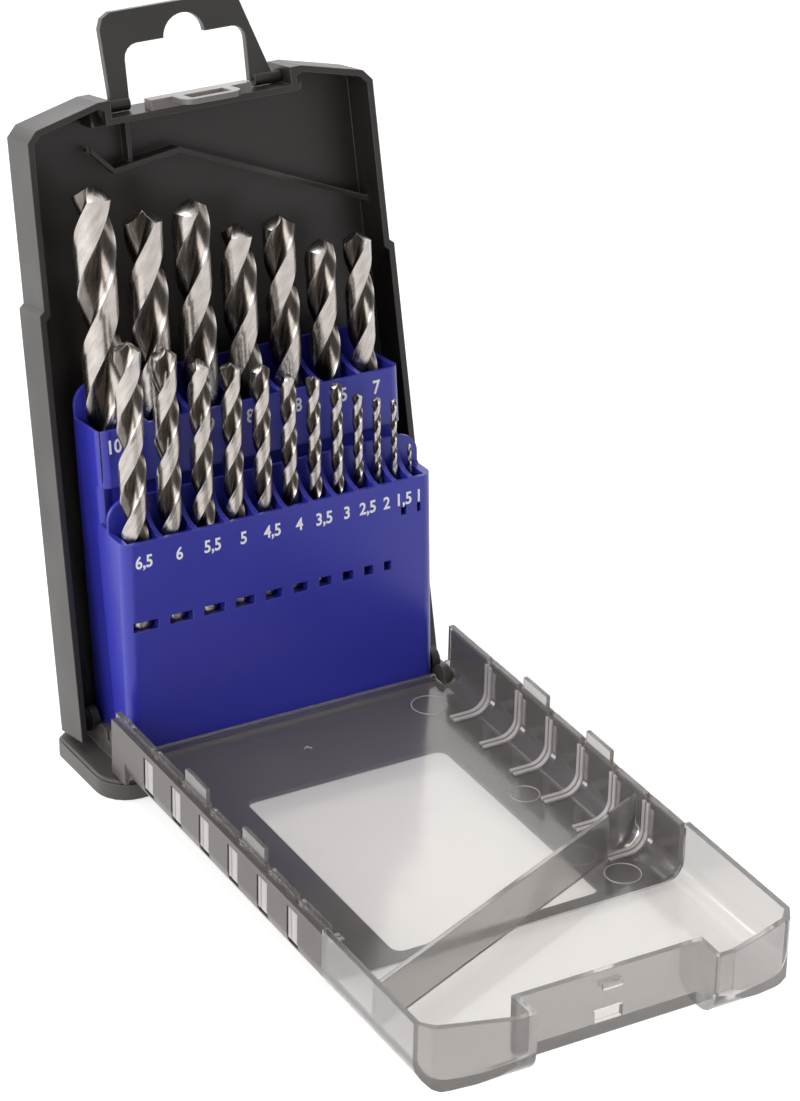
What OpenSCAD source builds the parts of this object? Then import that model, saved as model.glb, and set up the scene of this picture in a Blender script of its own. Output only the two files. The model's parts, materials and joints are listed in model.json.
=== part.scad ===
// Stand-up drill bit case, shown open: a foot carries a leaning rear shell,
// two holders full of twist drills that fan out with it, and a clear lid in a
// dark sleeve that folds down in front. Millimetres, +Z up, foot on Z = 0.
// Every hinge axis runs along X. The fan is drawn upright, as in the closed
// case, and each piece is then leaned back about its own pivot.

/* [Foot] */
// Width of the foot
foot_w = 100; // [99:1:110]
// Front edge of the foot, ahead of the lid pivot
foot_front = 4.7; // [4:0.1:8]
// Thickness of the foot plate
foot_t = 5; // [4:0.5:6]
// Radius of the foot's front corners
foot_r = 8; // [3:1:12]
// Thickness of the two upright ears that carry the pivots
ear_t = 2; // [1.4:0.1:2]

/* [Closed stack, front to rear] */
// Gap between the closed lid and the front holder
lid_gap = 2.4; // [1:0.1:4]
// Depth of the front holder's body
front_d = 8.8; // [8.6:0.1:10]
// Depth of the rear holder's body
rear_d = 12.5; // [12.2:0.1:14]
// Running gap between neighbouring pieces of the stack
stack_gap = 0.4; // [0.3:0.1:0.8]

/* [Lean of the open fan] */
// Lean of the rear shell
shell_lean = 10.3; // [6:0.1:12]
// Lean of the rear holder
rear_lean = 5.5; // [4:0.1:6.5]
// Lean of the front holder
front_lean = 1.5; // [0.5:0.1:2.5]

/* [Rear shell] */
// Height of the shell's shoulders above the foot plate
shell_h = 148.4; // [146:0.1:152]
// Outer width at the bottom edge
shell_w_low = 97; // [95:0.5:99]
// Outer width just under the step
shell_w_mid = 93.4; // [93:0.1:95]
// Outer width of the upper part, just above the step
shell_w_up = 91; // [90.6:0.1:92]
// Outer width at the shoulders
shell_w_top = 89.6; // [89:0.1:90.5]
// Height of the step above the bottom edge
step_h = 103.8; // [98:0.1:108]
// Depth of the side walls
shell_d = 11.6; // [11:0.1:12]
// Wall thickness
shell_t = 1.5; // [1.2:0.1:1.8]
// Rise of the two peaks above the shoulders
peak_rise = 3.4; // [3:0.1:5]

/* [Holders] */
// Outer width of the front holder
front_w = 82.2; // [82.2:0.1:82.4]
// Height of the front holder's lip above the foot plate
front_h = 57; // [54:1:60]
// Outer width of the rear holder
rear_w = 79.8; // [79.4:0.1:79.8]
// Height of the rear holder's lip above the foot plate
rear_h = 80; // [76:1:84]
// Height of the back wall and the fins above the lip
fin_rise = 8; // [5:0.5:10]
// Thickness of the fins between the pockets
fin_t = 1.2; // [0.8:0.1:1.4]
// Thickness of the holders' front walls
holder_wall = 1.1; // [0.9:0.1:1.2]
// Depth of the open pockets below the lip
pocket_h = 14; // [10:1:18]
// How far the rear holder's upper part juts forward
jut = 1.2; // [0.4:0.1:1.2]

/* [Lid] */
// Width of the lid
lid_w = 93.6; // [93.6:0.1:94.4]
// Length from the pivot to the peaks of the far wall
lid_len = 150.5; // [149:0.5:153]
// Height of the rails
lid_h = 16.2; // [15:0.1:16.4]
// Wall thickness of the clear lid
lid_t = 1.4; // [1.1:0.1:1.6]
// Length of the dark sleeve
sleeve_len = 103; // [98:1:108]
// Thickness of the sleeve
sleeve_t = 1.1; // [0.8:0.1:1.3]
// Radius of the lid's outer bottom edges
lid_r = 6; // [4:0.5:7]
// Spacing of the slots in the rails
slot_pitch = 14; // [13:0.1:14.4]
// Distance from the pivot to the first slot
slot_first = 18.4; // [16:0.1:20]
// Width of the slots in the clear rails
slot_w = 1.8; // [1.2:0.1:2.4]
// Width of the slots in the sleeve
sleeve_slot_w = 4.8; // [3.5:0.1:6]
// Width of the notch in the far wall
notch_w = 44.6; // [42:0.2:45.4]
// Depth of the notch below the peaks
notch_d = 7.1; // [7.1:0.1:8]

/* [Hanger and latch] */
// Height of the hanger above its pivot
hanger_h = 21.6; // [20:0.1:22]
// Thickness of the hanger
hanger_t = 1.8; // [1.4:0.1:2]
// Width of the latch strip
latch_w = 26; // [24:0.2:26.4]
// Width of the latch loop
loop_w = 15; // [12:0.5:17]

/* [Pins] */
// Radius of the stub pins on the foot's ears
pin_r = 1.5; // [1.2:0.1:1.6]
// Radial running clearance in the pin holes
pin_play = 0.05; // [0.03:0.01:0.08]
// Radius of the hanger's own pins
hanger_pin_r = 1.1; // [0.8:0.1:1.2]

/* [Hidden] */
$fn = 40;
eps = 0.01;

// Drills: [diameter, whole length, flute length, height of the pocket floor over the foot plate]
rear_drills = [[10, 133, 87, 4], [9.5, 125, 81, 4], [9, 125, 81, 4], [8.5, 117, 75, 4],
               [8, 117, 75, 4], [7.5, 109, 69, 4], [7, 109, 69, 4]];
front_drills = [[6.5, 101, 63, 4.5], [6, 93, 57, 9], [5.5, 93, 57, 4.5], [5, 86, 52, 9],
                [4.5, 80, 47, 13], [4, 75, 43, 14], [3.5, 70, 39, 17], [3, 61, 33, 23],
                [2.5, 57, 30, 23], [2, 49, 24, 29], [1.5, 40, 18, 36.5], [1, 34, 12, 30]];
bore_play = 0.2;            // radial play of a shank in its pocket
edge_wall = 0.65;           // thinnest wall beside the outermost shanks

// Pivots as [Y, Z]
lid_pivot_h = 3.6;          // pivot above the lid's underside
lid_pivot = [0, foot_t + lid_pivot_h + 0.2];
holder_clear = 1.4;         // holders' undersides above the foot plate
front_y = -lid_pivot_h + sleeve_t + lid_t + lid_gap + 0.3;
rear_y = front_y + front_d + stack_gap;
shell_inner_y = rear_y + rear_d + 0.7;
shell_back_y = shell_inner_y + shell_t;
shell_front_y = shell_back_y - shell_d;
front_pivot = [front_y + front_d / 2, foot_t + 5.5];
rear_pivot = [rear_y + 2, foot_t + 3.6];
shell_pivot = [shell_back_y - 4.8, foot_t + 4.6];
foot_back = shell_back_y + 0.4;

// Widths that follow from one another, all half widths
lid_half = lid_w / 2;
clear_half = lid_half - sleeve_t - 0.1;
ear_gap = 0.4;
ear_x = front_w / 2 + ear_gap;
shell_bottom = foot_t + 1.6;
shoulder_z = foot_t + shell_h;
notch_half = notch_w / 2;
lid_slope = asin((lid_pivot[1] - lid_pivot_h) / lid_len);
slot_count = 6;

// Top of the shell: the hanger folds down into a recess between the peaks
recess_half = notch_half + 1;
hanger_half = notch_half - 1.5;
left_leg = 4.6;
right_leg = 5.7;
recess_z = shoulder_z - 0.8;
hanger_pivot = [shell_front_y + 6, recess_z + 1.7];
barrel_r = 1.6;

// Centres along X of a row of drills, with one equal gap between neighbours
function sum_to(list, n) = n <= 0 ? 0 : list[n - 1] + sum_to(list, n - 1);
function pair_means(row) = [for (i = [1:len(row) - 1]) (row[i - 1][0] + row[i][0]) / 2];
function first_x(row, half) = -half + edge_wall + bore_play + row[0][0] / 2;
function last_x(row, half) = half - fin_t - 1.4 - row[len(row) - 1][0] / 2;
function row_gap(row, half) =
    (last_x(row, half) - first_x(row, half) - sum_to(pair_means(row), len(row) - 1)) / (len(row) - 1);
function drill_x(row, half, i) = first_x(row, half) + sum_to(pair_means(row), i) + i * row_gap(row, half);
rear_half = rear_w / 2;
front_half = front_w / 2;
cheek_t = front_half - rear_half - 0.2;
front_in = front_half - cheek_t;

// Points of an arc, centre c, radius r, from angle a to angle b
function arc(c, r, a, b, n = 6) =
    [for (i = [0:n], turn = a + (b - a) * i / n) c + r * [cos(turn), sin(turn)]];
function mirrored(points) = [for (i = [len(points) - 1:-1:0]) [-points[i][0], points[i][1]]];

// Turns a piece drawn upright back by an angle about a pivot along X
module leaned(pivot, angle) {
    translate([0, pivot[0], pivot[1]])
        rotate([-angle, 0, 0])
            translate([0, -pivot[0], -pivot[1]])
                children();
}

// Lays the lid's own flat frame down from the pivot to the table
module lid_laid() {
    translate([0, lid_pivot[0], lid_pivot[1]])
        rotate([lid_slope, 0, 0])
            translate([0, 0, -lid_pivot_h])
                children();
}

module x_rod(r, x0, x1, yz) {
    translate([x0, yz[0], yz[1]])
        rotate([0, 90, 0])
            cylinder(r = r, h = x1 - x0);
}

module both_sides() {
    children();
    mirror([1, 0, 0]) children();
}

// ---- Foot ----

module foot_plan(inset) {
    half = foot_w / 2 - inset;
    y0 = -foot_front + inset;
    y1 = foot_back - inset;
    polygon(concat(arc([half - foot_r, y0 + foot_r], foot_r, -90, 0),
                   arc([half - 3, y1 - 3], 3, 0, 90, 4),
                   arc([-half + 3, y1 - 3], 3, 90, 180, 4),
                   arc([-half + foot_r, y0 + foot_r], foot_r, 180, 270)));
}

module ear() {
    ear_top = lid_pivot[1];
    difference() {
        union() {
            translate([ear_x, -2.6, foot_t - eps])
                cube([ear_t, shell_pivot[0] + 2.6, ear_top - foot_t]);
            x_rod(2.6, ear_x, ear_x + ear_t, lid_pivot);
            x_rod(2.9, ear_x, ear_x + ear_t, front_pivot);
            x_rod(2.9, ear_x, ear_x + ear_t, rear_pivot);
            x_rod(2.9, ear_x, ear_x + ear_t, shell_pivot);
        }
        translate([ear_x - 1, -3, 0])
            cube([ear_t + 2, shell_pivot[0] + 8, foot_t - eps]);
    }
}

module base_foot() {
    color("#4a4748") {
        linear_extrude(height = foot_t - 1) foot_plan(0);
        translate([0, 0, foot_t - 1 - eps]) linear_extrude(height = 1 + eps) foot_plan(0.6);
        both_sides() {
            ear();
            x_rod(pin_r, ear_x + ear_t - eps, clear_half - 0.1, lid_pivot);
            x_rod(pin_r, ear_x + ear_t - eps, ear_x + ear_t + 3, shell_pivot);
            x_rod(pin_r, front_in - 0.3, ear_x + eps, front_pivot);
            x_rod(pin_r, rear_half - 1, ear_x + eps, rear_pivot);
        }
    }
}

// ---- Rear shell ----

// Right half of the front view, from the bottom to the middle of the recess
function shell_side(inset) = [
    [shell_w_low / 2 - inset, shell_bottom + (inset > 0 ? -1 : 0)],
    [shell_w_mid / 2 - inset, shell_bottom + step_h - inset],
    [shell_w_up / 2 - inset, shell_bottom + step_h - inset + 1],
    [shell_w_top / 2 - inset, shoulder_z - 3 - inset * 0.4],
    [shell_w_top / 2 - 2.4 - inset * 0.6, shoulder_z - 0.4 - inset * 0.9],
    [recess_half + 3, shoulder_z + peak_rise - inset],
    [recess_half + inset, shoulder_z + peak_rise - inset * 1.6],
    [recess_half + inset, recess_z - inset]];

module shell_outline(inset) {
    side = shell_side(inset);
    polygon(concat(side, mirrored(side)));
}

// A solid with the given front outline, from y0 back to y1
module from_front(y0, y1) {
    translate([0, y1, 0]) rotate([90, 0, 0]) linear_extrude(height = y1 - y0) children();
}

// Stop rib over the rear tips: a line of points thickened downwards
module stop_rib() {
    rib_t = 1.3;
    rib_d = 4.6;
    rib_low = 116.5;
    knee = [-4.6, 137];
    dip = [-21.5, 134.8];
    rib_end = [-27, 140.5];
    line = [for (p = [[shell_w_up / 2 - shell_t, rib_low], knee, dip, rib_end]) p + [0, foot_t]];
    from_front(shell_inner_y - rib_d, shell_inner_y + eps)
        polygon(concat(line, [for (i = [len(line) - 1:-1:0]) line[i] - [0, rib_t]]));
}

module hanger_boss() {
    boss = [4, 6];
    below = 2;
    translate([recess_half, hanger_pivot[0] - boss[1] / 2, recess_z - below])
        cube([boss[0], boss[1], shoulder_z + peak_rise - recess_z + below - 0.3]);
}

module rear_shell() {
    boss_x = ear_x + ear_t + 0.3;
    web = [-17, 134];           // small upright web above the stop rib: X, height over the foot plate
    web_d = 3;
    color("#2f2a28")
        leaned(shell_pivot, shell_lean)
            difference() {
                union() {
                    difference() {
                        from_front(shell_front_y, shell_back_y) shell_outline(0);
                        from_front(shell_front_y - 1, shell_inner_y) shell_outline(shell_t);
                    }
                    stop_rib();
                    translate([web[0], shell_inner_y - web_d, foot_t + web[1]])
                        cube([1, web_d + eps, recess_z - foot_t - web[1] - 1]);
                    both_sides() {
                        x_rod(3, boss_x, shell_w_low / 2 - 0.8, shell_pivot);
                        hanger_boss();
                    }
                }
                both_sides() {
                    x_rod(pin_r + pin_play, boss_x - 1, ear_x + ear_t + 3.2, shell_pivot);
                    x_rod(hanger_pin_r + pin_play, recess_half - 1, recess_half + 2.6, hanger_pivot);
                }
            }
}

// ---- Hanger ----

// Hanging plate seen from the front, Z counted from its pivot
module hanger_outline() {
    leg = hanger_half;
    corner = 3.3;               // radius of the slot's upper corners
    slot_h = 13.6;
    centre_z = slot_h - corner;
    difference() {
        polygon([[-leg, 0], [-leg - 1, hanger_h - 3.6], [-leg - 0.1, hanger_h - 1.2], [-leg + 2, hanger_h],
                 [leg - 7.3, hanger_h], [leg, 1.5], [leg, 0]]);
        polygon(concat([[-leg + left_leg, -1]],
                       arc([-leg + left_leg + corner, centre_z], corner, 180, 90, 4),
                       arc([leg - right_leg - corner, centre_z], corner, 90, 0, 4),
                       [[leg - right_leg, -1]]));
        translate([-0.6, slot_h - 0.2]) circle(r = 5.3);
    }
}

module hanger() {
    leg = hanger_half;
    color("#3f3c38")
        leaned(shell_pivot, shell_lean) {
            from_front(hanger_pivot[0] - hanger_t / 2, hanger_pivot[0] + hanger_t / 2)
                translate([0, hanger_pivot[1]]) hanger_outline();
            both_sides() {
                x_rod(barrel_r, leg - left_leg, recess_half - 0.2, hanger_pivot);
                x_rod(hanger_pin_r, recess_half - 0.2 - eps, recess_half + 2.4, hanger_pivot);
            }
        }
}

// ---- Latch clip ----

module latch_clip() {
    loop_z = recess_z + 1.2;
    loop_t = 1.3;
    strip_y = shell_front_y + 0.1;
    loop_l = 7.4;
    color("#3b3734")
        leaned(shell_pivot, shell_lean) {
            translate([-latch_w / 2, strip_y, recess_z])
                cube([latch_w, 3.8, loop_z + loop_t - recess_z]);
            difference() {
                union() {
                    translate([-loop_w / 2, strip_y - loop_l + 3, loop_z])
                        cube([loop_w, loop_l - 3 + eps, loop_t]);
                    translate([-loop_w / 2 + 3, strip_y - loop_l, loop_z])
                        cube([loop_w - 6, 3 + eps, loop_t]);
                    both_sides()
                        translate([loop_w / 2 - 3, strip_y - loop_l + 3, loop_z])
                            cylinder(r = 3, h = loop_t);
                }
                translate([-loop_w / 2 + 2.4, strip_y - loop_l + 2, loop_z - 1])
                    cube([loop_w - 4.8, loop_l - 2.6, loop_t + 2]);
            }
        }
}

// ---- Holders ----

// Plan of a holder: a rectangle whose two front corners are round
module holder_plan(half, y0, y1, r) {
    union() {
        translate([-half, y0 + r]) square([2 * half, y1 - y0 - r]);
        translate([-half + r, y0]) square([2 * half - 2 * r, r + eps]);
        translate([-half + r, y0 + r]) circle(r = r);
        translate([half - r, y0 + r]) circle(r = r);
    }
}

// A fin between two pockets, falling in a curve from the back wall to the lip
module fin(x, y0, y1, z0, lip) {
    d = y1 - y0;
    edge = [for (i = [0:6]) [y0 + d * sin(15 * i), lip + (fin_rise - 0.8) * (1 - cos(15 * i))]];
    translate([x - fin_t / 2, 0, 0])
        rotate([90, 0, 90])
            linear_extrude(height = fin_t)
                polygon(concat([[y0, z0]], edge, [[y1, z0]]));
}

// Left and right limits of pocket i, leaving half a fin on each side
function pocket_left(row, half, inner, i) = i == 0 ? -inner + edge_wall :
    (drill_x(row, half, i - 1) + row[i - 1][0] / 2 + drill_x(row, half, i) - row[i][0] / 2) / 2 + fin_t / 2;
function pocket_right(row, half, inner, i) = i == len(row) - 1 ? inner - fin_t :
    (drill_x(row, half, i) + row[i][0] / 2 + drill_x(row, half, i + 1) - row[i + 1][0] / 2) / 2 - fin_t / 2;

// Back wall, rounded at its two upper corners
module back_wall(half, y0, y1, z0, z1) {
    r = 5;
    from_front(y0, y1)
        union() {
            translate([-half, z0]) square([2 * half, z1 - z0 - r]);
            translate([-half + r, z0]) square([2 * half - 2 * r, z1 - z0]);
            translate([-half + r, z1 - r]) circle(r = r);
            translate([half - r, z1 - r]) circle(r = r);
        }
}

// What both holders share: pockets, shank bores and fins of one row of drills.
// The drills are spaced within the inner half width
module holder_body(row, inner, half, y0, y1, lip, bore_y, front_top) {
    z0 = foot_t + holder_clear;
    n = len(row);
    back_t = 0.9;
    ledge_t = 1.2;
    foot_of_fin = 0.3;
    under_fin = 0.05;
    difference() {
        union() {
            translate([0, 0, z0]) linear_extrude(height = lip - z0) holder_plan(half, y0, y1, 3);
            if (front_top < y0)
                translate([0, 0, lip - pocket_h])
                    linear_extrude(height = pocket_h) holder_plan(half, front_top, y1, 3);
            back_wall(half, y1 - back_t, y1, lip - 6, lip + fin_rise);
        }
        for (i = [0:n - 1]) {
            left = pocket_left(row, inner, inner, i);
            right = pocket_right(row, inner, inner, i);
            translate([left - under_fin, front_top + holder_wall, lip - pocket_h + ledge_t])
                cube([right - left + 2 * under_fin, y1 - back_t - front_top - holder_wall, pocket_h + 1]);
            translate([drill_x(row, inner, i), bore_y, foot_t + row[i][3]])
                cylinder(r = row[i][0] / 2 + bore_play, h = lip - foot_t - row[i][3]);
        }
    }
    for (i = [1:n - 1])
        fin(pocket_left(row, inner, inner, i) - fin_t / 2, front_top + foot_of_fin, y1 - back_t / 2,
            lip - pocket_h, lip + foot_of_fin);
}

front_bore_y = front_y + front_d / 2;
rear_bore_y = rear_y + rear_d / 2;

// Cheek beside the rear holder, deeper towards the top
module front_cheek() {
    y1 = front_y + front_d;
    lip = foot_t + front_h;
    translate([front_in, 0, 0])
        rotate([90, 0, 90])
            linear_extrude(height = cheek_t)
                polygon([[y1 - 3, foot_t + 9], [y1, foot_t + 9], [y1 + 5, lip - 2], [y1 + 4, lip + 1],
                         [y1 - 0.4, lip + 1], [y1 - 3, lip - 1]]);
}

module front_holder() {
    lip = foot_t + front_h;
    window_z = foot_t + 34.5;
    high_window_z = foot_t + 48;
    window_h = 2.4;
    color("#32328c")
        leaned(front_pivot, front_lean)
            difference() {
                union() {
                    holder_body(front_drills, front_in, front_half, front_y, front_y + front_d, lip,
                                front_bore_y, front_y);
                    both_sides() front_cheek();
                }
                for (i = [0:len(front_drills) - 1]) {
                    d = front_drills[i][0];
                    shown = i < len(front_drills) - 2;
                    translate([drill_x(front_drills, front_in, i) - d / 2, front_y - 1,
                               shown ? window_z : high_window_z])
                        cube([d, 1 + front_d / 2, window_h]);
                }
                both_sides() x_rod(pin_r + pin_play, front_in - 0.5, front_half + 1, front_pivot);
            }
}

module rear_holder() {
    lip = foot_t + rear_h;
    color("#32328c")
        leaned(rear_pivot, rear_lean)
            difference() {
                holder_body(rear_drills, rear_half, rear_half, rear_y, rear_y + rear_d, lip, rear_bore_y,
                            rear_y - jut);
                both_sides() x_rod(pin_r + pin_play, rear_half - 1.2, rear_half + 1, rear_pivot);
            }
}

// ---- Twist drills ----

// Cross-section of the fluted part: share of the radius and angle, for half a turn
flute_points = [[0.99, 0], [0.99, 30], [0.99, 58], [0.6, 76], [0.34, 108], [0.56, 150]];
function flute_share(i) = flute_points[i % 6];
flute_n = 12;

// One ring of the fluted part; depth 0 is a plain round, 1 is the full flute
function flute_ring(r, z, turn, depth) = [for (i = [0:flute_n - 1])
    let (p = flute_share(i), ang = p[1] + turn + (i < 6 ? 0 : 180), q = r * (1 + (p[0] - 1) * depth) * 0.99)
        [q * cos(ang), q * sin(ang), z]];

// Last ring, on the cone of the point, and the tip itself
function point_ring(r, top, turn) = [for (p = flute_ring(r, 0, turn, 1))
    [p[0], p[1], top - norm([p[0], p[1]]) / tan(59)]];

module fluted_part(r, z0, top) {
    lead = 2 * PI * r / tan(30);
    point_z = top - r / tan(59);
    steps = ceil(10 * (point_z - z0) / lead);
    rise = (point_z - z0) / steps;
    rings = [for (i = [0:steps]) flute_ring(r, z0 + i * rise, 360 * i * rise / lead, i == 0 ? 0 : 1)];
    last = point_ring(r, top, 360 * (top - r * 0.3 - z0) / lead);
    points = concat([for (ring = rings, p = ring) p], last, [[0, 0, top]]);
    n = flute_n;
    sides = [for (k = [0:steps], i = [0:n - 1])
        let (a = k * n + i, b = k * n + (i + 1) % n)
            each [[a, a + n, b + n], [a, b + n, b]]];
    tip = [for (i = [0:n - 1]) [(steps + 1) * n + i, (steps + 2) * n, (steps + 1) * n + (i + 1) % n]];
    polyhedron(points = points, faces = concat([[for (i = [0:n - 1]) i]], sides, tip), convexity = 6);
}

module twist_drill(d, whole, flute) {
    r = d / 2;
    shank = whole - flute;
    bevel = r * 0.15;
    cylinder(r1 = r - bevel, r2 = r, h = bevel);
    translate([0, 0, bevel - eps]) cylinder(r = r, h = shank - bevel);
    fluted_part(r, shank - r * 0.4, whole);
}

module rear_drill(i) {
    drill = rear_drills[i];
    color("#b9b4ac")
        leaned(rear_pivot, rear_lean)
            translate([drill_x(rear_drills, rear_half, i), rear_bore_y, foot_t + drill[3]])
                rotate([0, 0, 40 + 55 * i]) twist_drill(drill[0], drill[1], drill[2]);
}

module front_drill(i) {
    drill = front_drills[i];
    color("#b9b4ac")
        leaned(front_pivot, front_lean)
            translate([drill_x(front_drills, front_in, i), front_bore_y, foot_t + drill[3]])
                rotate([0, 0, 15 + 47 * i]) twist_drill(drill[0], drill[1], drill[2]);
}

// ---- Lid, drawn flat: pivot at Y = 0, far wall towards -Y, underside at Z = 0 ----

// Room for the foot's ears at the hinge end, clear of the cheeks outside them
module ear_cut() {
    translate([ear_x - 0.6, -3.9, -1]) cube([clear_half - lid_t - ear_x + 0.6, 8, lid_h]);
}

// Section across the lid with round bottom edges, from z0 up to z1
module trough_section(half, z0, z1, r) {
    polygon(concat([[half, z1]], arc([half - r, z0 + r], r, 0, -90, 5),
                   arc([-half + r, z0 + r], r, -90, -180, 5), [[-half, z1]]));
}

// The section run from y0 forward to y1
module trough(half, z0, z1, r, y0, y1) {
    from_front(y1, y0) trough_section(half, z0, z1, r);
}

// Plan of the far part: shoulders, two peaks and the notch between them
module far_plan(inset) {
    half = lid_half - inset;
    side = [[half, -sleeve_len + 1], [half, -lid_len + 9], [half - 2.4, -lid_len + 5.2 + inset * 0.8],
            [notch_half + 4.5, -lid_len + inset], [notch_half + inset, -lid_len + inset],
            [notch_half + inset, -lid_len + notch_d + inset]];
    polygon(concat(side, mirrored(side)));
}

// Outer or inner form of the far part, its edges at the floor rounded
module far_form(inset, z0, z1, r) {
    intersection() {
        translate([0, 0, z0]) linear_extrude(height = z1 - z0) far_plan(inset);
        trough(lid_half - inset, z0, z1 + 1, r, -sleeve_len + 2, -lid_len - 1);
        translate([-lid_half - 1, 0, 0])
            rotate([90, 0, 90])
                linear_extrude(height = lid_w + 2)
                    polygon(concat([[-sleeve_len + 2, z0]],
                                   arc([-lid_len + inset + r, z0 + r], r, -90, -180, 5),
                                   [[-lid_len + inset, z1 + 1], [-sleeve_len + 2, z1 + 1]]));
    }
}

// Clear wall that crosses the lid at a slant and stops the front tips
module stop_wall(half, z0) {
    wall_h = 12.4;
    slant = 23.6;
    middle = -103;
    intersection() {
        translate([0, middle, z0])
            rotate([0, 0, slant])
                translate([-lid_w, -0.6, 0]) cube([2 * lid_w, 1.2, wall_h]);
        trough(half, z0, lid_h, lid_r - 1, middle + 60, middle - 60);
    }
}

module clear_lid() {
    floor_z = sleeve_t + 0.1;
    inner_half = clear_half - lid_t;
    tall = 3.4;
    near_end = -sleeve_len + 1;
    color("#d7d2cf", 0.45)
        lid_laid()
            difference() {
                union() {
                    difference() {
                        union() {
                            trough(clear_half, floor_z, lid_h, lid_r, 0.8, near_end - 0.5);
                            far_form(0, 0, lid_h, lid_r);
                        }
                        trough(inner_half, floor_z + lid_t, lid_h + 1, lid_r - lid_t, 2, near_end - 3);
                        far_form(lid_t, floor_z + lid_t, lid_h + 1, lid_r - lid_t);
                    }
                    both_sides() {
                        x_rod(3.1, inner_half, clear_half, [0, lid_pivot_h]);
                        translate([inner_half, -5, 0.6]) cube([lid_t, 5, lid_pivot_h + 5]);
                        for (i = [2, 4])
                            translate([inner_half, -slot_first - i * slot_pitch + slot_w, lid_h - 5])
                                cube([1, slot_pitch - 2 * slot_w, 5 + tall]);
                    }
                    stop_wall(inner_half + 0.4, floor_z + 0.5);
                    translate([-inner_half + 4, -0.6, floor_z]) cube([2 * inner_half - 8, 1.2, 3]);
                    translate([-2.5, -lid_len + notch_d - 1.2, lid_h - 4.2]) cube([5, 1.4, 1.6]);
                }
                both_sides() {
                    for (i = [0:slot_count - 1])
                        translate([34, -slot_first - i * slot_pitch - slot_w / 2, -1])
                            cube([lid_half, slot_w, lid_h + 8]);
                    x_rod(pin_r + pin_play, inner_half - 1, clear_half + 1, [0, lid_pivot_h]);
                    ear_cut();
                }
                translate([-3.5, -lid_len - 1, floor_z + lid_t + 0.6]) cube([7, notch_d + 4, 3]);
            }
}

module lid_sleeve() {
    rail_h = lid_h - 1.4;
    window_r = 2.5;             // corner radius of the window in the floor, and its corner centres
    right = 26.5 - window_r;
    near = -27.5 - window_r;
    far = -sleeve_len + 4.5 + window_r;
    color("#57504f")
        lid_laid()
            difference() {
                union() {
                    trough(lid_half, 0, rail_h, lid_r + 0.5, 0.8, -sleeve_len + 1);
                    both_sides()
                        translate([clear_half + 0.1, -6, 0.4]) cube([sleeve_t, 6.8, rail_h - 0.4]);
                }
                trough(clear_half + 0.1, sleeve_t, rail_h + 1, lid_r - 0.4, 2, -sleeve_len);
                both_sides()
                    translate([clear_half - lid_t - 0.1, -5.1, 0.5]) cube([lid_t + 0.2, 8, rail_h]);
                translate([0, 0, -1])
                    linear_extrude(height = sleeve_t + 2)
                        polygon(concat(arc([right, near], window_r, 0, 90, 4),
                                       arc([-right, near], window_r, 90, 180, 4),
                                       arc([-right, far], window_r, 180, 270, 4),
                                       arc([right, far], window_r, 270, 360, 4)));
                both_sides() {
                    for (i = [0:slot_count - 1])
                        translate([lid_half - 4, -slot_first - i * slot_pitch - sleeve_slot_w / 2, 3.6])
                            cube([6, sleeve_slot_w, rail_h - 5]);
                    ear_cut();
                }
            }
}

base_foot();
rear_shell();
hanger();
latch_clip();
front_holder();
rear_holder();
clear_lid();
lid_sleeve();
rear_drill(0);  // drill_10_0
rear_drill(1);  // drill_9_5
rear_drill(2);  // drill_9_0
rear_drill(3);  // drill_8_5
rear_drill(4);  // drill_8_0
rear_drill(5);  // drill_7_5
rear_drill(6);  // drill_7_0
front_drill(0);  // drill_6_5
front_drill(1);  // drill_6_0
front_drill(2);  // drill_5_5
front_drill(3);  // drill_5_0
front_drill(4);  // drill_4_5
front_drill(5);  // drill_4_0
front_drill(6);  // drill_3_5
front_drill(7);  // drill_3_0
front_drill(8);  // drill_2_5
front_drill(9);  // drill_2_0
front_drill(10);  // drill_1_5
front_drill(11);  // drill_1_0
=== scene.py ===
import json
import math
import bpy
from mathutils import Matrix, Vector

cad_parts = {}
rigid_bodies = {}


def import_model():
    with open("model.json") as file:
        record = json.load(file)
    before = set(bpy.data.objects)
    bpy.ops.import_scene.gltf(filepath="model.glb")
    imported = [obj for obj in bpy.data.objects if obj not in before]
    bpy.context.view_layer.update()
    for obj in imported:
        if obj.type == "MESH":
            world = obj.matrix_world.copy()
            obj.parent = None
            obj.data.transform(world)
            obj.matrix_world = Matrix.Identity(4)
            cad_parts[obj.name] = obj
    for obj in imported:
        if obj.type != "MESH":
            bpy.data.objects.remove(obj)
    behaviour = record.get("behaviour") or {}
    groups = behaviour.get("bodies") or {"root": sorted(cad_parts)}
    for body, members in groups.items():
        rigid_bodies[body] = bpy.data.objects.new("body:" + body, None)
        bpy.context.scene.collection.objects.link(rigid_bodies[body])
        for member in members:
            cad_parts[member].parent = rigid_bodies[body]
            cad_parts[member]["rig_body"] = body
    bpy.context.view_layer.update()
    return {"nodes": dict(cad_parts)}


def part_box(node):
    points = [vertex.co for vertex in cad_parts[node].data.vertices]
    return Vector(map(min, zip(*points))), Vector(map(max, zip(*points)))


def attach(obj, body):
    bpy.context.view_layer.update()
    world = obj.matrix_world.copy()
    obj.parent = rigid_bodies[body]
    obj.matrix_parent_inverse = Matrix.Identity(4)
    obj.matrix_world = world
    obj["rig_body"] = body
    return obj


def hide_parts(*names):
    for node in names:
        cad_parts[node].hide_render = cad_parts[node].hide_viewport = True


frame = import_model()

MM = 0.001
WHITE = (1, 1, 1, 1)


def deselect():
    bpy.ops.object.select_all(action="DESELECT")


def only(piece):
    deselect()
    piece.select_set(True)
    bpy.context.view_layer.objects.active = piece


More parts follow.
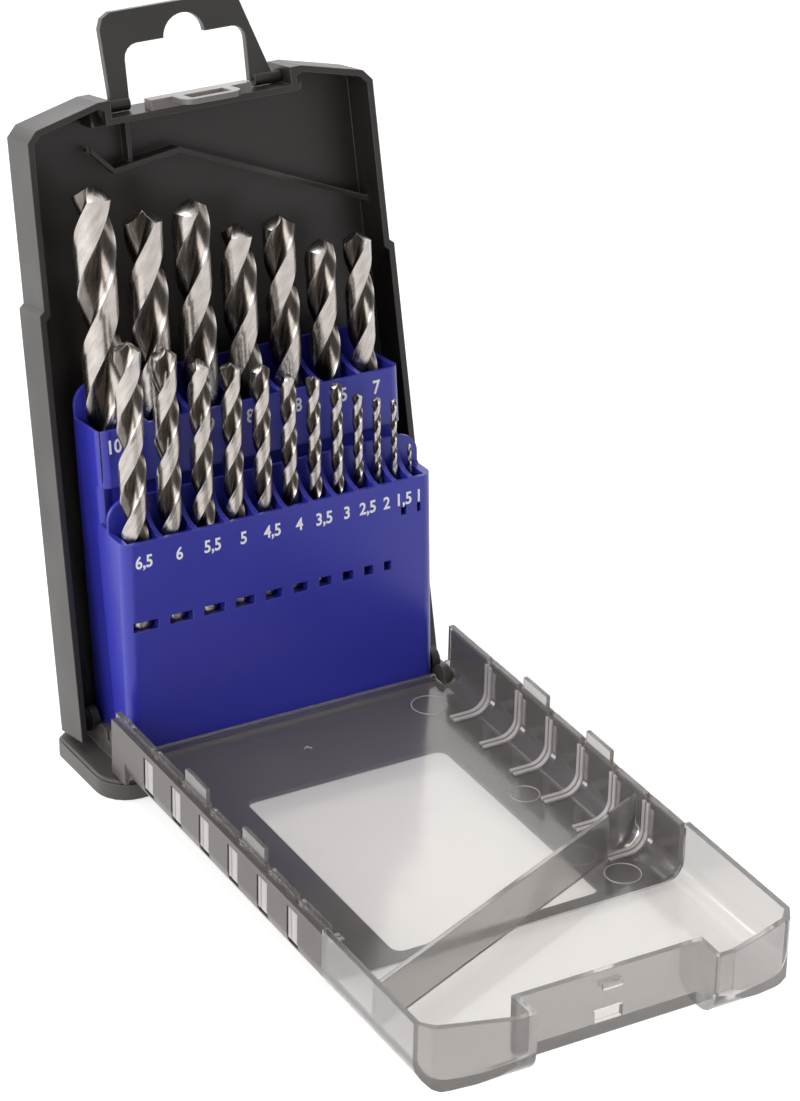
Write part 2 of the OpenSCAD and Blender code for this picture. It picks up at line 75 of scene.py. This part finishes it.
def modify(piece, kind, **settings):
    """Adds a modifier to the active piece and applies it."""
    bpy.ops.object.modifier_add(type=kind)
    modifier = piece.modifiers[-1]
    for name, value in settings.items():
        setattr(modifier, name, value)
    bpy.ops.object.modifier_apply(modifier=modifier.name)


def joined(name, pieces, lean, material):
    """One object out of several, moved from the upright drawing to its place in the open case."""
    deselect()
    for piece in pieces:
        piece.select_set(True)
    bpy.context.view_layer.objects.active = pieces[0]
    bpy.ops.object.join()
    whole = bpy.context.object
    whole.name = name
    whole.data.transform(lean)
    whole.data.materials.clear()
    whole.data.materials.append(material)
    return whole


def linear(hex_colour):
    channels = [int(hex_colour[i:i + 2], 16) / 255 for i in (1, 3, 5)]
    return [c / 12.92 if c <= 0.04045 else ((c + 0.055) / 1.055) ** 2.4 for c in channels] + [1]


def feed(tree, node, links):
    """Gives a node's inputs a socket to follow or a value to keep."""
    for socket, value in links.items():
        if isinstance(value, bpy.types.NodeSocket):
            tree.links.new(value, node.inputs[socket])
        else:
            node.inputs[socket].default_value = value


def add_node(tree, kind, links=None, **settings):
    node = tree.nodes.new(kind)
    for name, value in settings.items():
        setattr(node, name, value)
    feed(tree, node, links or {})
    return node


def blend(tree, share, first, second):
    return add_node(tree, "ShaderNodeMix", {0: share, 6: first, 7: second}, data_type="RGBA").outputs[2]


def stretch(tree, noise, low, high):
    """The usual span of a noise, 0.3 to 0.7, stretched to run from low to high."""
    return add_node(tree, "ShaderNodeMapRange", {"Value": noise.outputs["Fac"], "From Min": 0.3,
                    "From Max": 0.7, "To Min": low, "To Max": high}).outputs[0]


def new_material(name):
    material = bpy.data.materials.new(name)
    material.use_nodes = True
    return material, material.node_tree, material.node_tree.nodes["Principled BSDF"]


EDGE_R = 0.35 * MM          # radius that the arrises of a moulding are softened by
EDGE_HIGHLIGHT_TONE = "#c9c6c4"     # colour that the painted highlight on an arris turns towards


def moulded_plastic(name, hex_colour, roughness, grain, depth, edge_light):
    """Thermoplastic from a steel mould: an even body colour, the mould's fine eroded grain,
    slow changes of gloss where the melt flowed, and arrises painted paler as a highlight."""
    material, tree, shader = new_material(name)
    place = add_node(tree, "ShaderNodeTexCoord").outputs["Object"]
    flow = add_node(tree, "ShaderNodeTexNoise", {"Vector": place, "Scale": 1 / (22 * MM), "Detail": 3})
    pits = add_node(tree, "ShaderNodeTexNoise", {"Vector": place, "Scale": 1 / grain, "Detail": 2})
    rounded = add_node(tree, "ShaderNodeBevel", {"Radius": EDGE_R}, samples=4).outputs["Normal"]
    bump = add_node(tree, "ShaderNodeBump", {"Height": pits.outputs["Fac"], "Distance": depth,
                    "Strength": 0.6, "Normal": rounded})
    face = add_node(tree, "ShaderNodeNewGeometry").outputs["Normal"]
    turn = add_node(tree, "ShaderNodeVectorMath", {0: rounded, 1: face}, operation="DOT_PRODUCT")
    # painted highlight: the arrises are painted paler where the rounded normal turns away from the face
    painted_edge_highlight = add_node(tree, "ShaderNodeMapRange", {"Value": turn.outputs["Value"],
                      "From Min": 0.995, "From Max": 0.8, "To Min": 0.0, "To Max": edge_light})
    colour = linear(hex_colour)
    body = blend(tree, stretch(tree, flow, 0.0, 0.1), colour, [c * 1.5 for c in colour[:3]] + [1])
    feed(tree, shader, {
        "Base Color": blend(tree, painted_edge_highlight.outputs[0], body, linear(EDGE_HIGHLIGHT_TONE)),
        "Roughness": stretch(tree, flow, roughness - 0.05, roughness + 0.07),
        "Normal": bump.outputs["Normal"], "Specular IOR Level": 0.45})
    return material


def dressed(node, material, smooth=32):
    """A copy of the CAD node with its loose triangles joined, so that its curves shade smoothly."""
    deselect()
    source = frame["nodes"][node]
    body = source["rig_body"]
    piece = bpy.data.objects.new("shown_" + node, source.data.copy())
    bpy.context.scene.collection.objects.link(piece)
    only(piece)
    bpy.ops.object.mode_set(mode="EDIT")
    bpy.ops.mesh.select_all(action="SELECT")
    bpy.ops.mesh.remove_doubles(threshold=0.002 * MM)
    bpy.ops.mesh.dissolve_limited(angle_limit=math.radians(0.3))
    bpy.ops.object.mode_set(mode="OBJECT")
    bpy.ops.object.shade_smooth_by_angle(angle=math.radians(smooth))
    modify(piece, "WEIGHTED_NORMAL", keep_sharp=True)
    piece.data.materials.clear()
    piece.data.materials.append(material)
    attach(piece, body)
    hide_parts(node)


# ---- Foot ----
# Flat plate with two upright ears for the hinge pins, moulded in one piece of
# dark grey polypropylene with a satin spark-eroded grain.
foot_plastic = moulded_plastic("foot_polypropylene_satin", "#383433", 0.45, 0.5 * MM, 0.012 * MM, 0.14)
dressed("base_foot", foot_plastic)

# ---- Rear shell ----
# One shallow tray in near-black polypropylene, leaning back on the foot, with a
# step at about two thirds of its height and a stop rib over the drill tips.
shell_plastic = moulded_plastic("shell_polypropylene_black", "#1e1917", 0.42, 0.45 * MM, 0.012 * MM, 0.14)
dressed("rear_shell", shell_plastic)

# ---- Hanger and latch clip ----
# The hanger turns up out of its recess on two pins, and the latch's U-shaped
# loop springs over the lid's nub. One is a dark and one a lighter grey moulding.
hanger_plastic = moulded_plastic("hanger_polypropylene_grey", "#2b2824", 0.4, 0.6 * MM, 0.01 * MM, 0.2)
latch_plastic = moulded_plastic("latch_acetal_grey", "#6a6461", 0.3, 0.8 * MM, 0.006 * MM, 0.25)
dressed("hanger", hanger_plastic)
dressed("latch_clip", latch_plastic)

# ---- Holders ----
# Two deep blue blocks of polypropylene, each with a row of pockets over round shank
# bores and fins between them. The front one has a small slot before every shank.
holder_plastic = moulded_plastic("holder_polypropylene_blue", "#2b2d97", 0.36, 0.5 * MM, 0.008 * MM, 0.1)
dressed("rear_holder", holder_plastic)
dressed("front_holder", holder_plastic)


def leaned(pivot_y, pivot_z, degrees):
    """The lean of a piece that is drawn upright, about its own pivot."""
    pivot = Vector((0, pivot_y, pivot_z)) * MM
    tilt = Matrix.Rotation(math.radians(-degrees), 4, "X")
    return Matrix.Translation(pivot) @ tilt @ Matrix.Translation(-pivot)


REAR_LEAN = leaned(12.8, 8.6, 5.5)
FRONT_LEAN = leaned(6.0, 10.5, 1.5)

# ---- Size numbers ----
# Pad-printed in white ink under each pocket: the drill's diameter, with a comma.
ink, ink_tree, ink_shader = new_material("pad_print_white")
ink_place = add_node(ink_tree, "ShaderNodeTexCoord").outputs["Object"]
ink_patch = add_node(ink_tree, "ShaderNodeTexNoise", {"Vector": ink_place, "Scale": 1 / (0.3 * MM)})
ink_tone = add_node(ink_tree, "ShaderNodeMapRange", {"Value": ink_patch.outputs["Fac"],
                    "To Min": 0.45, "To Max": 0.6})
feed(ink_tree, ink_shader, {"Roughness": ink_tone.outputs[0], "Base Color": linear("#e9e8ea")})

FONT_SIZE = 1.37            # font size that makes a figure one unit high
BOLDER, INK_T = 0.1, 0.02   # how far the strokes are widened, and half the ink's thickness
NARROW = 0.86


def printed(name, labels, height, face_y, lean, body):
    """One row of numbers, (text, x, z) in mm, on a holder's front face."""
    words = []
    for text, x, z in labels:
        deselect()
        bpy.ops.object.text_add()
        word = bpy.context.object
        word.data.body = text
        word.data.align_x = "CENTER"
        word.data.align_y = "CENTER"
        word.data.size = height * FONT_SIZE * MM
        word.data.offset = BOLDER * MM
        word.data.extrude = INK_T * MM
        word.data.resolution_u = 3
        word.rotation_euler = (math.pi / 2, 0, 0)
        word.scale = (NARROW, 1, 1)
        word.location = (x * MM, face_y * MM, z * MM)
        bpy.ops.object.convert(target="MESH")
        bpy.ops.object.transform_apply()
        words.append(bpy.context.object)
    row = joined(name, words, lean, ink)
    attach(row, body)
    return row


def across(node):
    """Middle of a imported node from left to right, in mm."""
    low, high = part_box(node)
    return (low.x + high.x) / 2 / MM


def node_name(size):
    return "drill_" + (size.replace(",", "_") if "," in size else size + "_0")


# Size, whole length, flute length, pocket floor over the foot plate, all in mm
REAR_DRILLS = [("10", 133, 87, 4), ("9,5", 125, 81, 4), ("9", 125, 81, 4), ("8,5", 117, 75, 4),
               ("8", 117, 75, 4), ("7,5", 109, 69, 4), ("7", 109, 69, 4)]
FRONT_DRILLS = [("6,5", 101, 63, 4.5), ("6", 93, 57, 9), ("5,5", 93, 57, 4.5), ("5", 86, 52, 9),
                ("4,5", 80, 47, 13), ("4", 75, 43, 14), ("3,5", 70, 39, 17), ("3", 61, 33, 23),
                ("2,5", 57, 30, 23), ("2", 49, 24, 29), ("1,5", 40, 18, 36.5), ("1", 34, 12, 30)]

# Height of the row's middle, height of a figure and the holder's front face, in mm
REAR_ROW_Z, REAR_FIGURE, REAR_FACE = 80.9, 3.4, 9.6
FRONT_ROW_Z, FRONT_FIGURE, FRONT_FACE = 57.0, 3.2, 1.6
# The rear row stands to the left of its drills, most at the 10 mm one
REAR_SHIFT, SHIFT_STEP = -2.2, 0.25

rear_labels = [(drill[0], across(node_name(drill[0])) + REAR_SHIFT + SHIFT_STEP * i, REAR_ROW_Z)
               for i, drill in enumerate(REAR_DRILLS)]
front_labels = [(drill[0], across(node_name(drill[0])), FRONT_ROW_Z) for drill in FRONT_DRILLS]
rear_numbers = printed("rear_numbers", rear_labels, REAR_FIGURE, REAR_FACE, REAR_LEAN, "rear_rack")
front_numbers = printed("front_numbers", front_labels, FRONT_FIGURE, FRONT_FACE, FRONT_LEAN, "front_rack")

# ---- Twist drills ----
# High-speed steel to the jobber standard, flutes and lands ground bright: each
# starts as a round bar that is cut into rings, then fluted, twisted and pointed.
HELIX = math.radians(30)
POINT = math.radians(59)
RINGS_PER_TURN = 26
MARGIN = 0.05        # share of half a turn that the full-width margin takes
LAND = 0.47          # share of half a turn at which the land ends
DEEPEST = 0.55       # share of the flute at which it is deepest
RISE = 0.45          # share of the flute over which it rises to the next edge
LAND_R = 0.965       # radius of the relieved land, as a share of the drill's
WEB = 0.22           # half the web, as a share of the drill's radius
HEEL_FALL = 0.16     # how far the point falls away behind the cutting edge
SHANK_CHAMFER = 0.15
RUN_OUT = 0.9        # length over which the flute runs out, in diameters
FOOT_T = 5           # thickness of the foot plate, in mm
TINY = 1e-7


def flute_profile(share):
    """Radius and part of the section at a share of half a turn from the cutting edge."""
    if share < MARGIN:
        return 1.0, 0.0
    if share < LAND:
        return LAND_R, 0.0
    s = (share - LAND) / (1 - LAND)
    if s < DEEPEST:
        return WEB + (LAND_R - WEB) * (1 - math.sin(math.pi / 2 * s / DEEPEST)) ** 0.9, 1.0
    t = (s - DEEPEST) / RISE
    return WEB + (1.0 - WEB) * t ** 1.35, 1.0


def steel(name):
    """Ground high-speed steel: grinding lines run along the helix, the flutes are painted darker
    than the lands as shade in their hollows, and the finish is bright with a trace of warmth."""
    material, tree, shader = new_material(name)
    along = add_node(tree, "ShaderNodeUVMap", uv_map="helix").outputs["UV"]
    fine = add_node(tree, "ShaderNodeMapping", {"Vector": along, "Scale": (60, 0.8, 1)})
    lines = add_node(tree, "ShaderNodeTexNoise", {"Vector": fine.outputs[0], "Scale": 1, "Detail": 4})
    broad = add_node(tree, "ShaderNodeMapping", {"Vector": along, "Scale": (9, 2.2, 1)})
    bands = add_node(tree, "ShaderNodeTexNoise", {"Vector": broad.outputs[0], "Scale": 1, "Detail": 3})
    fluted = add_node(tree, "ShaderNodeAttribute", attribute_name="fluted").outputs["Fac"]
    land = blend(tree, bands.outputs["Fac"], linear("#7f7975"), linear("#bfb9b4"))
    # painted shade: the flutes take a darker base colour than the lands, as shade in the hollows
    flute = blend(tree, bands.outputs["Fac"], linear("#3c3733"), linear("#857e78"))
    gloss = add_node(tree, "ShaderNodeMapRange", {"Value": lines.outputs["Fac"],
                     "To Min": 0.16, "To Max": 0.36})
    bump = add_node(tree, "ShaderNodeBump", {"Height": lines.outputs["Fac"], "Distance": 0.02 * MM,
                    "Strength": 0.5})
    feed(tree, shader, {"Base Color": blend(tree, fluted, land, flute), "Roughness": gloss.outputs[0],
                        "Normal": bump.outputs["Normal"], "Metallic": 1})
    return material


bright_steel = steel("high_speed_steel_ground")


def twist_drill(size, whole, flute_length, floor, bore_y, turn, lean, body):
    node = node_name(size)
    d = float(size.replace(",", ".")) * MM
    r = d / 2
    around = 48 if d > 4 * MM else 32
    whole, flute_length = whole * MM, flute_length * MM
    low = whole - flute_length
    lead = math.pi * d / math.tan(HELIX)
    rings = math.ceil(flute_length / lead * RINGS_PER_TURN)
    # the fluted part as a plain bar, its long edges cut into rings
    deselect()
    bpy.ops.mesh.primitive_cylinder_add(vertices=around, radius=r, depth=flute_length,
                                        end_fill_type="TRIFAN", location=(0, 0, whole - flute_length / 2))
    drill = bpy.context.object
    bpy.ops.object.transform_apply()
    mesh = drill.data
    bpy.ops.object.mode_set(mode="EDIT")
    bpy.ops.mesh.select_mode(type="EDGE")
    bpy.ops.mesh.select_all(action="DESELECT")
    bpy.ops.object.mode_set(mode="OBJECT")
    for edge in mesh.edges:
        a, b = (mesh.vertices[i].co for i in edge.vertices)
        edge.select = abs(a.z - b.z) > flute_length / 2
    bpy.ops.object.mode_set(mode="EDIT")
    bpy.ops.mesh.subdivide(number_cuts=rings - 1)
    # the lower end is drawn down into the plain shank, with a small chamfer
    bpy.ops.mesh.select_all(action="DESELECT")
    bpy.ops.mesh.select_mode(type="FACE")
    bpy.ops.object.mode_set(mode="OBJECT")
    for face in mesh.polygons:
        face.select = face.normal.z < -0.9
    bpy.ops.object.mode_set(mode="EDIT")
    chamfer = r * SHANK_CHAMFER
    bpy.ops.mesh.extrude_region_move(TRANSFORM_OT_translate={"value": (0, 0, chamfer - low)})
    bpy.ops.mesh.extrude_region_move(TRANSFORM_OT_translate={"value": (0, 0, -chamfer)})
    bpy.ops.transform.resize(value=(1 - SHANK_CHAMFER, 1 - SHANK_CHAMFER, 1))
    bpy.ops.object.mode_set(mode="OBJECT")
    # every ring takes the flute's section, its share of the twist and the point's cone
    fluted = mesh.attributes.new("fluted", "FLOAT", "POINT")
    turned = [0.0] * len(mesh.vertices)
    for v in mesh.vertices:
        x, y, z = v.co
        radius = math.hypot(x, y)
        if z < low - TINY:
            continue
        if radius < TINY:
            v.co.z = whole
            continue
        angle = math.atan2(y, x) % (2 * math.pi)
        share = (angle / math.pi) % 1
        if share > 1 - 0.25 / around:
            share = 0
        depth = min(1, (z - low) / (d * RUN_OUT))
        depth = depth * depth * (3 - 2 * depth)
        q, is_flute = flute_profile(share)
        q = r * (1 + (q - 1) * depth)
        if share < LAND:
            heel = min(1, share / LAND)
        else:
            heel = max(0, 1 - (share - LAND) / (DEEPEST * (1 - LAND)))
        end = whole - q / math.tan(POINT) - HEEL_FALL * heel * q
        height = low + (z - low) * (end - low) / flute_length
        spin = angle + 2 * math.pi * (height - low) / lead
        v.co = (q * math.cos(spin), q * math.sin(spin), height)
        fluted.data[v.index].value = is_flute * depth
        turned[v.index] = share
    grain = mesh.uv_layers.new(name="helix")
    for loop in mesh.loops:
        height = mesh.vertices[loop.vertex_index].co.z
        grain.data[loop.index].uv = (turned[loop.vertex_index], height / (10 * MM))
    centre = Vector((across(node) * MM, bore_y * MM, (FOOT_T + floor) * MM))
    mesh.transform(lean @ Matrix.Translation(centre) @ Matrix.Rotation(math.radians(turn), 4, "Z"))
    drill.name = "shown_" + node
    bpy.ops.object.shade_smooth_by_angle(angle=math.radians(38))
    mesh.materials.clear()
    mesh.materials.append(bright_steel)
    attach(drill, body)
    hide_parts(node)


REAR_BORE_Y, FRONT_BORE_Y = 17.05, 6.0
# Each drill stands turned at its own angle, the same as in the CAD
for i, (size, whole, flute, floor) in enumerate(REAR_DRILLS):
    twist_drill(size, whole, flute, floor, REAR_BORE_Y, 40 + 55 * i, REAR_LEAN, "rear_rack")
for i, (size, whole, flute, floor) in enumerate(FRONT_DRILLS):
    twist_drill(size, whole, flute, floor, FRONT_BORE_Y, 15 + 47 * i, FRONT_LEAN, "front_rack")

# ---- Lid sleeve ----
# Dark grey outer tray that grips the near part of the lid, with a large window
# in its floor and six slots in each side. Satin polypropylene.
sleeve_plastic = moulded_plastic("sleeve_polypropylene_grey", "#423b39", 0.36, 0.5 * MM, 0.008 * MM, 0.22)
dressed("lid_sleeve", sleeve_plastic)

# ---- Clear lid ----
# Injection-moulded clear polypropylene: see-through with a faint milk, softly
# rippled by the mould, with softened edges that catch the light.
LID_LAID = (Matrix.Translation(Vector((0, 0, 8.8)) * MM) @ Matrix.Rotation(math.radians(1.98005), 4, "X")
            @ Matrix.Translation(Vector((0, 0, -3.6)) * MM))
LID_FLOOR = 2.6      # upper face of the clear floor over the lid's underside, in mm
LIGHT_THROUGH = 0.74  # share of the light that goes straight on to what lies under the lid


def clear_plastic(name, hex_colour, transmission, rough_from, rough_to):
    """Clear polypropylene from a polished mould: a grey-beige tint, a faint milk that takes a
    share of the light, long ripples from the flow, and a soft edge that catches a thin line."""
    material, tree, shader = new_material(name)
    place = add_node(tree, "ShaderNodeTexCoord").outputs["Object"]
    ripple = add_node(tree, "ShaderNodeTexNoise", {"Vector": place, "Scale": 1 / (9 * MM), "Detail": 2})
    soft_edge = add_node(tree, "ShaderNodeBevel", {"Radius": 0.3 * MM}, samples=4)
    waves = add_node(tree, "ShaderNodeBump", {"Height": ripple.outputs["Fac"], "Distance": 0.03 * MM,
                     "Strength": 0.4, "Normal": soft_edge.outputs["Normal"]})
    feed(tree, shader, {
        "Roughness": stretch(tree, ripple, rough_from, rough_to), "Normal": waves.outputs["Normal"],
        "Base Color": linear(hex_colour), "IOR": 1.45, "Transmission Weight": transmission})
    passes = add_node(tree, "ShaderNodeLightPath").outputs["Is Shadow Ray"]
    let_through = add_node(tree, "ShaderNodeMath", {0: passes, 1: LIGHT_THROUGH}, operation="MULTIPLY")
    thin = add_node(tree, "ShaderNodeBsdfTransparent", {"Color": linear("#f4f2f0")})
    mixed = add_node(tree, "ShaderNodeMixShader", {0: let_through.outputs[0],
                     1: shader.outputs[0], 2: thin.outputs[0]})
    feed(tree, tree.nodes["Material Output"], {"Surface": mixed.outputs[0]})
    return material


clear = clear_plastic("lid_polypropylene_clear", "#bab7b5", 0.91, 0.1, 0.17)
dressed("clear_lid", clear, smooth=30)

# ---- Mould marks in the lid ----
# Three plain ejector rings stand up as thin beads along the right side of the
# floor, and one small chevron sits near the hinge.
frosted = clear_plastic("lid_polypropylene_bead", "#b6b1b0", 0.3, 0.3, 0.4)
RINGS = [(32.9, -10.0, 4.4), (32.1, -55.9, 3.5), (34.0, -95.5, 4.2)]    # x, y, radius
BARS = [(-3.0, -13.8, 35), (-2.2, -14.2, -55)]                          # x, y, turn in degrees
BEAD = 0.14                                                             # radius of a bead
BAR_LEN = 1.3
marks = []
for x, y, radius in RINGS:
    deselect()
    bpy.ops.mesh.primitive_torus_add(major_radius=radius * MM, minor_radius=BEAD * MM, major_segments=72,
                                     minor_segments=8, location=(x * MM, y * MM, LID_FLOOR * MM))
    bpy.ops.object.transform_apply()
    marks.append(bpy.context.object)
for x, y, turn in BARS:
    deselect()
    bpy.ops.mesh.primitive_cube_add(size=1, location=(x * MM, y * MM, LID_FLOOR * MM))
    bar = bpy.context.object
    bar.scale = (BAR_LEN * MM, 2 * BEAD * MM, 2 * BEAD * MM)
    bar.rotation_euler = (0, 0, math.radians(turn))
    bpy.ops.object.transform_apply()
    marks.append(bar)
mould_marks = joined("mould_marks", marks, LID_LAID, frosted)
bpy.ops.object.shade_smooth_by_angle(angle=math.radians(50))
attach(mould_marks, "lid")

# ---- Slot lips of the lid ----
# Each slot in the clear rails is edged by two thin frosted lips that run from the
# floor round the inner corner and up the rail, with a fine gap between them.
SLOTS = [-18.4 - 14 * i for i in range(6)]
INNER_HALF, INNER_R, RAIL_TOP = 44.2, 4.6, 14.6     # rail's inner face, its corner, and the lips' top
LIP_START = 34.4                                    # where a lip begins on the floor
LIP_W, LIP_T, LIP_GAP = 1.15, 0.3, 0.5
FLAT = INNER_HALF - INNER_R - LIP_START
ROUND = INNER_R * math.pi / 2
UP = RAIL_TOP - LID_FLOOR - INNER_R
lips = []
for y in SLOTS:
    for side in (-1, 1):
        for step in (-1, 1):
            deselect()
            bpy.ops.mesh.primitive_grid_add(x_subdivisions=26, y_subdivisions=1, size=1)
            lip = bpy.context.object
            for v in lip.data.vertices:
                along = (v.co.x + 0.5) * (FLAT + ROUND + UP)
                turn = min(max(along - FLAT, 0), ROUND) / INNER_R
                x = INNER_HALF - INNER_R - max(FLAT - along, 0) + INNER_R * math.sin(turn)
                z = LID_FLOOR + INNER_R * (1 - math.cos(turn)) + max(along - FLAT - ROUND, 0)
                v.co = (side * x * MM, (y + step * (LIP_GAP + LIP_W) / 2 + v.co.y * LIP_W) * MM, z * MM)
            only(lip)
            modify(lip, "SOLIDIFY", thickness=2 * LIP_T * MM, offset=0)
            lips.append(lip)
slot_lips = joined("slot_lips", lips, LID_LAID, frosted)
bpy.ops.object.mode_set(mode="EDIT")
bpy.ops.mesh.select_all(action="SELECT")
bpy.ops.mesh.normals_make_consistent(inside=False)
bpy.ops.object.mode_set(mode="OBJECT")
bpy.ops.object.shade_smooth_by_angle(angle=math.radians(40))
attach(slot_lips, "lid")

# ---- Snap pads of the lid ----
# Frosted pads on the outside of the clear rails fill the sleeve's windows and hold
# it in place. A fine groove splits each pad where the slot runs behind it.
PAD_X, PAD_T = 46.0, 1.1
PAD_LOW, PAD_HIGH = 5.2, 13.2
PAD_PARTS = ((-0.75, 2.8), (1.5, 1.4))      # centre and width of the two parts, along the rail
PAD_EDGE = 0.15
pads = []
for y in SLOTS:
    for side in (-1, 1):
        for shift, width in PAD_PARTS:
            deselect()
            bpy.ops.mesh.primitive_cube_add(size=1, location=(side * PAD_X * MM, (y + shift) * MM,
                                                              (PAD_LOW + PAD_HIGH) / 2 * MM))
            pad = bpy.context.object
            pad.scale = (PAD_T * MM, width * MM, (PAD_HIGH - PAD_LOW) * MM)
            bpy.ops.object.transform_apply()
            modify(pad, "BEVEL", width=PAD_EDGE * MM, segments=2)
            pads.append(pad)
snap_pads = joined("snap_pads", pads, LID_LAID, frosted)
bpy.ops.object.shade_smooth_by_angle(angle=math.radians(40))
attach(snap_pads, "lid")

# ---- Table, lights and camera ----
# A pale table that shows white to the camera, soft light from the left, above
# and the right, and the photograph's own viewpoint.
TABLE_SIZE, TABLE_DROP = 12, 0.0003     # in metres; the drop keeps the foot clear of the table
TABLE_LIFT = 0.6                        # glow that the camera sees; mirrors see it at full strength
SKY = 0.3                               # the sky as a light; it is 1 to the camera
MIRROR_FRONT, MIRROR_REAR = 0.3, 2.0    # the sky in mirrors, on the camera's side and behind the case

deselect()
bpy.ops.mesh.primitive_plane_add(size=TABLE_SIZE, location=(0, 0, -TABLE_DROP))
table = bpy.context.object
table.name = "table"
table_paint, paint_tree, paint_shader = new_material("table_pale")
seen = add_node(paint_tree, "ShaderNodeLightPath")
to_camera = add_node(paint_tree, "ShaderNodeMath", {0: seen.outputs["Is Camera Ray"], 1: TABLE_LIFT},
                     operation="MULTIPLY")
lift = add_node(paint_tree, "ShaderNodeMath", {0: to_camera.outputs[0], 1: seen.outputs["Is Glossy Ray"]},
                operation="MAXIMUM")
feed(paint_tree, paint_shader, {"Base Color": linear("#d3d2d1"), "Roughness": 0.9,
                                "Emission Color": WHITE, "Emission Strength": lift.outputs[0]})
table.data.materials.append(table_paint)

world = bpy.context.scene.world or bpy.data.worlds.new("studio")
bpy.context.scene.world = world
world.use_nodes = True
sky_tree = world.node_tree
sky_seen = add_node(sky_tree, "ShaderNodeLightPath")
sky_direct = add_node(sky_tree, "ShaderNodeMath", {0: sky_seen.outputs["Is Camera Ray"],
                      1: sky_seen.outputs["Is Transmission Ray"]}, operation="MAXIMUM")
sky_place = add_node(sky_tree, "ShaderNodeTexCoord").outputs["Generated"]
sky_way = add_node(sky_tree, "ShaderNodeSeparateXYZ", {"Vector": sky_place})
sky_rear = add_node(sky_tree, "ShaderNodeMapRange", {"Value": sky_way.outputs["Y"], "From Min": -0.4,
                    "From Max": 0.5, "To Min": MIRROR_FRONT, "To Max": MIRROR_REAR})
sky_mirror = add_node(sky_tree, "ShaderNodeMapRange", {"Value": sky_seen.outputs["Is Glossy Ray"],
                      "To Min": SKY, "To Max": sky_rear.outputs[0]})
sky_level = add_node(sky_tree, "ShaderNodeMath", {0: sky_direct.outputs[0], 1: sky_mirror.outputs[0]},
                     operation="MAXIMUM")
feed(sky_tree, sky_tree.nodes["Background"], {"Color": WHITE, "Strength": sky_level.outputs[0]})

# Name, place in metres, diameter in metres, watts
SOFTBOXES = [("left_box", (-0.85, -0.4, 0.5), 0.7, 7), ("left_rear_box", (-0.9, 0.5, 0.3), 0.6, 5),
             ("top_box", (-0.15, 0.15, 1.25), 0.8, 6.5), ("right_box", (0.8, -0.6, 0.5), 0.6, 2.2)]
LIT_POINT = Vector((0, -0.04, 0.06))
for name, place, size, watts in SOFTBOXES:
    lamp = bpy.data.lights.new(name, "AREA")
    lamp.shape = "DISK"
    lamp.size = size
    lamp.energy = watts
    stand = bpy.data.objects.new(name, lamp)
    bpy.context.scene.collection.objects.link(stand)
    stand.location = place
    stand.rotation_euler = (LIT_POINT - Vector(place)).to_track_quat("-Z", "Y").to_euler()

lens = bpy.data.cameras.new("camera")
lens.sensor_fit = "VERTICAL"
lens.sensor_height = 36
lens.lens = 130.87
camera = bpy.data.objects.new("camera", lens)
bpy.context.scene.collection.objects.link(camera)
camera.location = (-0.3931, -0.7450, 0.4688)
camera.rotation_euler = [math.radians(a) for a in (63.705, -0.126, -29.547)]
bpy.context.scene.camera = camera
bpy.context.scene.view_settings.view_transform = "Standard"
